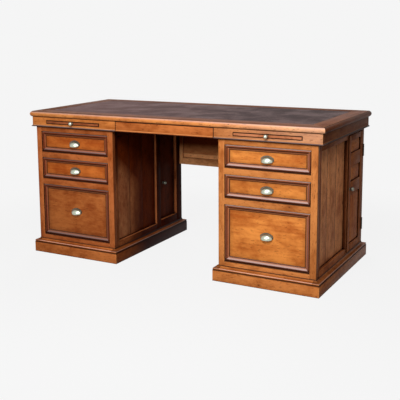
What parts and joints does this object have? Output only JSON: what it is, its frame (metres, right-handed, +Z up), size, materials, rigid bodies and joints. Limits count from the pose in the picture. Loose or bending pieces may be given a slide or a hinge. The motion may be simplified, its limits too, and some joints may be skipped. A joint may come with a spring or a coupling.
{
  "type": "partners desk",
  "caption": "Pedestal partners desk: leather-inlaid moulded top, drawers with mitred mouldings and cup pulls, side cupboards, centre drawer and pull-out writing slides.",
  "frame": {"origin": "on the floor, under the centre of the whole width and depth (slide knobs and plinth included)", "axes": "+X along the length, to the right as seen from the drawer side; +Y to the back; +Z up"},
  "size_m": [1.676, 0.7888, 0.787],
  "materials": {
    "stained_wood": "warm brown stain with dark glaze, satin varnish",
    "plain_wood": "unvarnished",
    "leather": "satin, worn",
    "aged_metal": "aged, nickel-washed",
    "dark_iron": "oxidised"
  },
  "bodies": {
    "desk_frame": {"top_border": "stained_wood", "top_core": "plain_wood", "leather_inlay": "leather", "frieze_boards": "stained_wood", "frieze_bead": "stained_wood", "drawer_bearers": "plain_wood", "slide_guides": "plain_wood", "rear_apron": "stained_wood", "locating_dowels": "plain_wood", "left_plinth": "stained_wood", "left_face_frame": "stained_wood", "left_side_frames": "stained_wood", "left_plank_panels": "stained_wood", "left_carcass_boards": "plain_wood", "left_drawer_runners": "plain_wood", "left_hinge_plates": "dark_iron", "right_plinth": "stained_wood", "right_face_frame": "stained_wood", "right_side_frames": "stained_wood", "right_plank_panels": "stained_wood", "right_carcass_boards": "plain_wood", "right_drawer_runners": "plain_wood", "right_hinge_plates": "dark_iron"},
    "centre_drawer": {"centre_drawer_front": "stained_wood", "centre_drawer_box": "plain_wood"},
    "left_top_drawer": {"left_top_drawer_front": "stained_wood", "left_top_drawer_box": "plain_wood", "left_top_drawer_pull": "aged_metal"},
    "left_middle_drawer": {"left_middle_drawer_front": "stained_wood", "left_middle_drawer_box": "plain_wood", "left_middle_drawer_pull": "aged_metal"},
    "left_bottom_drawer": {"left_bottom_drawer_front": "stained_wood", "left_bottom_drawer_box": "plain_wood", "left_bottom_drawer_pull": "aged_metal"},
    "left_leaf": {"left_writing_slide": "stained_wood", "left_slide_knob": "aged_metal"},
    "left_end_door": {"left_outer_door_frame": "stained_wood", "left_outer_door_panels": "stained_wood", "left_outer_door_hinges": "dark_iron", "left_outer_door_knob": "aged_metal"},
    "left_kneehole_door": {"left_inner_door": "stained_wood", "left_inner_door_fittings": "aged_metal"},
    "right_top_drawer": {"right_top_drawer_front": "stained_wood", "right_top_drawer_box": "plain_wood", "right_top_drawer_pull": "aged_metal"},
    "right_middle_drawer": {"right_middle_drawer_front": "stained_wood", "right_middle_drawer_box": "plain_wood", "right_middle_drawer_pull": "aged_metal"},
    "right_bottom_drawer": {"right_bottom_drawer_front": "stained_wood", "right_bottom_drawer_box": "plain_wood", "right_bottom_drawer_pull": "aged_metal"},
    "right_leaf": {"right_writing_slide": "stained_wood", "right_slide_knob": "aged_metal"},
    "right_end_door": {"right_outer_door_frame": "stained_wood", "right_outer_door_panels": "stained_wood", "right_outer_door_hinges": "dark_iron", "right_outer_door_knob": "aged_metal"},
    "right_kneehole_door": {"right_inner_door": "stained_wood", "right_inner_door_fittings": "aged_metal"}
  },
  "joints": [
    {"name": "centre_drawer_slide", "type": "slide", "parent": "desk_frame", "child": "centre_drawer", "axis": [0, -1, 0], "range_m": [0, 0.4]},
    {"name": "left_top_drawer_slide", "type": "slide", "parent": "desk_frame", "child": "left_top_drawer", "axis": [0, -1, 0], "range_m": [0, 0.33]},
    {"name": "left_middle_drawer_slide", "type": "slide", "parent": "desk_frame", "child": "left_middle_drawer", "axis": [0, -1, 0], "range_m": [0, 0.33]},
    {"name": "left_bottom_drawer_slide", "type": "slide", "parent": "desk_frame", "child": "left_bottom_drawer", "axis": [0, -1, 0], "range_m": [0, 0.33]},
    {"name": "left_writing_slide_travel", "type": "slide", "parent": "desk_frame", "child": "left_leaf", "axis": [0, -1, 0], "range_m": [0, 0.32]},
    {"name": "left_end_door_hinge", "type": "hinge", "parent": "desk_frame", "child": "left_end_door", "pos_m": [-0.812, 0.3406, 0.3855], "axis": [0, 0, -1], "range_deg": [0, 105]},
    {"name": "left_kneehole_door_pivot", "type": "hinge", "parent": "desk_frame", "child": "left_kneehole_door", "pos_m": [-0.3315, 0.2999, 0.395], "axis": [0, 0, 1], "range_deg": [0, 88]},
    {"name": "right_top_drawer_slide", "type": "slide", "parent": "desk_frame", "child": "right_top_drawer", "axis": [0, -1, 0], "range_m": [0, 0.33]},
    {"name": "right_middle_drawer_slide", "type": "slide", "parent": "desk_frame", "child": "right_middle_drawer", "axis": [0, -1, 0], "range_m": [0, 0.33]},
    {"name": "right_bottom_drawer_slide", "type": "slide", "parent": "desk_frame", "child": "right_bottom_drawer", "axis": [0, -1, 0], "range_m": [0, 0.33]},
    {"name": "right_writing_slide_travel", "type": "slide", "parent": "desk_frame", "child": "right_leaf", "axis": [0, -1, 0], "range_m": [0, 0.32]},
    {"name": "right_end_door_hinge", "type": "hinge", "parent": "desk_frame", "child": "right_end_door", "pos_m": [0.812, 0.3406, 0.3855], "axis": [0, 0, 1], "range_deg": [0, 105]},
    {"name": "right_kneehole_door_pivot", "type": "hinge", "parent": "desk_frame", "child": "right_kneehole_door", "pos_m": [0.3315, 0.2999, 0.395], "axis": [0, 0, -1], "range_deg": [0, 88]}
  ]
}
